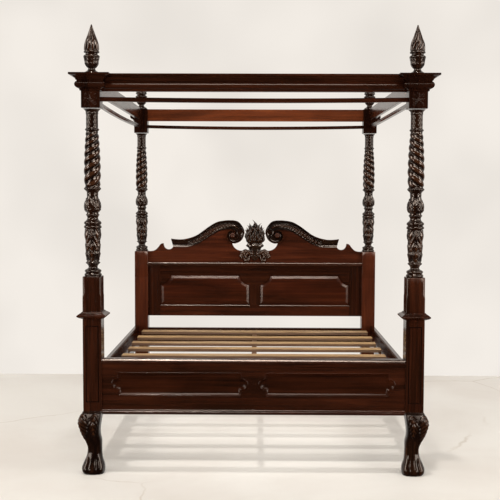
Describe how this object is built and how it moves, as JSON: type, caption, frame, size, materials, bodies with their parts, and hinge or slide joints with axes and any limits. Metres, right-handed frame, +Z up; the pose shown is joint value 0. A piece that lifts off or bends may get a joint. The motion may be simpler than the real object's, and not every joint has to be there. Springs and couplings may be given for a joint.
{
  "type": "four poster canopy bed",
  "caption": "Mahogany four poster bed with carved columns, cabriole feet, flame finials, corniced tester, swan-neck headboard, panelled footboard and lift-out pine slats.",
  "frame": {"origin": "on the floor, under the middle of the bed's overall box", "axes": "+X to the right seen from the foot of the bed, +Y towards the headboard, +Z up"},
  "size_m": [1.864, 2.23, 2.316],
  "materials": {
    "mahogany": "gloss",
    "panel_mahogany": "gloss",
    "carved_mahogany": "gloss",
    "pine": "rough sawn",
    "dowel_wood": "plain",
    "steel": "zinc plated"
  },
  "bodies": {
    "root": {"bed_bolt_nuts": "steel", "bed_bolts": "steel", "capital_front_left": "mahogany", "capital_front_right": "mahogany", "capital_rear_left": "mahogany", "capital_rear_right": "mahogany", "centre_bearer": "pine", "crest_flame": "carved_mahogany", "crest_leaves": "carved_mahogany", "crest_urn": "carved_mahogany", "curtain_rails": "mahogany", "footboard_base_moulding": "mahogany", "footboard_cap": "mahogany", "footboard_frame": "panel_mahogany", "footboard_panels": "panel_mahogany", "front_cornice": "mahogany", "front_foot_left": "carved_mahogany", "front_foot_right": "carved_mahogany", "front_post_block_left": "mahogany", "front_post_block_right": "mahogany", "headboard_bottom_rail": "panel_mahogany", "headboard_crest": "panel_mahogany", "headboard_muntin": "panel_mahogany", "headboard_panels": "panel_mahogany", "headboard_shelf": "panel_mahogany", "headboard_stiles": "panel_mahogany", "headboard_top_rail": "panel_mahogany", "post_collars": "mahogany", "post_dowels": "dowel_wood", "rear_cross_rail": "mahogany", "rear_leg_left": "mahogany", "rear_leg_right": "mahogany", "scroll_rosettes": "carved_mahogany", "side_rail_left": "mahogany", "side_rail_right": "mahogany", "slat_ledgers": "mahogany", "swan_neck_left": "carved_mahogany", "swan_neck_right": "carved_mahogany", "tester_board_front": "mahogany", "tester_board_left": "mahogany", "tester_board_rear": "mahogany", "tester_board_right": "mahogany", "upper_post_front_left": "carved_mahogany", "upper_post_front_right": "carved_mahogany", "upper_post_rear_left": "carved_mahogany", "upper_post_rear_right": "carved_mahogany"},
    "finial_front_left": {"finial_front_left": "carved_mahogany"},
    "finial_front_right": {"finial_front_right": "carved_mahogany"},
    "finial_rear_left": {"finial_rear_left": "carved_mahogany"},
    "finial_rear_right": {"finial_rear_right": "carved_mahogany"},
    "slat_1": {"slat_1": "pine"},
    "slat_2": {"slat_2": "pine"},
    "slat_3": {"slat_3": "pine"},
    "slat_4": {"slat_4": "pine"},
    "slat_5": {"slat_5": "pine"},
    "slat_6": {"slat_6": "pine"},
    "slat_7": {"slat_7": "pine"},
    "slat_8": {"slat_8": "pine"}
  },
  "joints": [
    {"name": "finial_front_left_lift", "type": "slide", "parent": "root", "child": "finial_front_left", "axis": [0, 0, 1], "range_m": [0, 0.06]},
    {"name": "finial_front_right_lift", "type": "slide", "parent": "root", "child": "finial_front_right", "axis": [0, 0, 1], "range_m": [0, 0.06]},
    {"name": "finial_rear_left_lift", "type": "slide", "parent": "root", "child": "finial_rear_left", "axis": [0, 0, 1], "range_m": [0, 0.06]},
    {"name": "finial_rear_right_lift", "type": "slide", "parent": "root", "child": "finial_rear_right", "axis": [0, 0, 1], "range_m": [0, 0.06]},
    {"name": "slat_1_lift", "type": "slide", "parent": "root", "child": "slat_1", "axis": [0, 0, 1], "range_m": [0, 0.1]},
    {"name": "slat_2_lift", "type": "slide", "parent": "root", "child": "slat_2", "axis": [0, 0, 1], "range_m": [0, 0.1]},
    {"name": "slat_3_lift", "type": "slide", "parent": "root", "child": "slat_3", "axis": [0, 0, 1], "range_m": [0, 0.1]},
    {"name": "slat_4_lift", "type": "slide", "parent": "root", "child": "slat_4", "axis": [0, 0, 1], "range_m": [0, 0.1]},
    {"name": "slat_5_lift", "type": "slide", "parent": "root", "child": "slat_5", "axis": [0, 0, 1], "range_m": [0, 0.1]},
    {"name": "slat_6_lift", "type": "slide", "parent": "root", "child": "slat_6", "axis": [0, 0, 1], "range_m": [0, 0.1]},
    {"name": "slat_7_lift", "type": "slide", "parent": "root", "child": "slat_7", "axis": [0, 0, 1], "range_m": [0, 0.1]},
    {"name": "slat_8_lift", "type": "slide", "parent": "root", "child": "slat_8", "axis": [0, 0, 1], "range_m": [0, 0.1]}
  ]
}
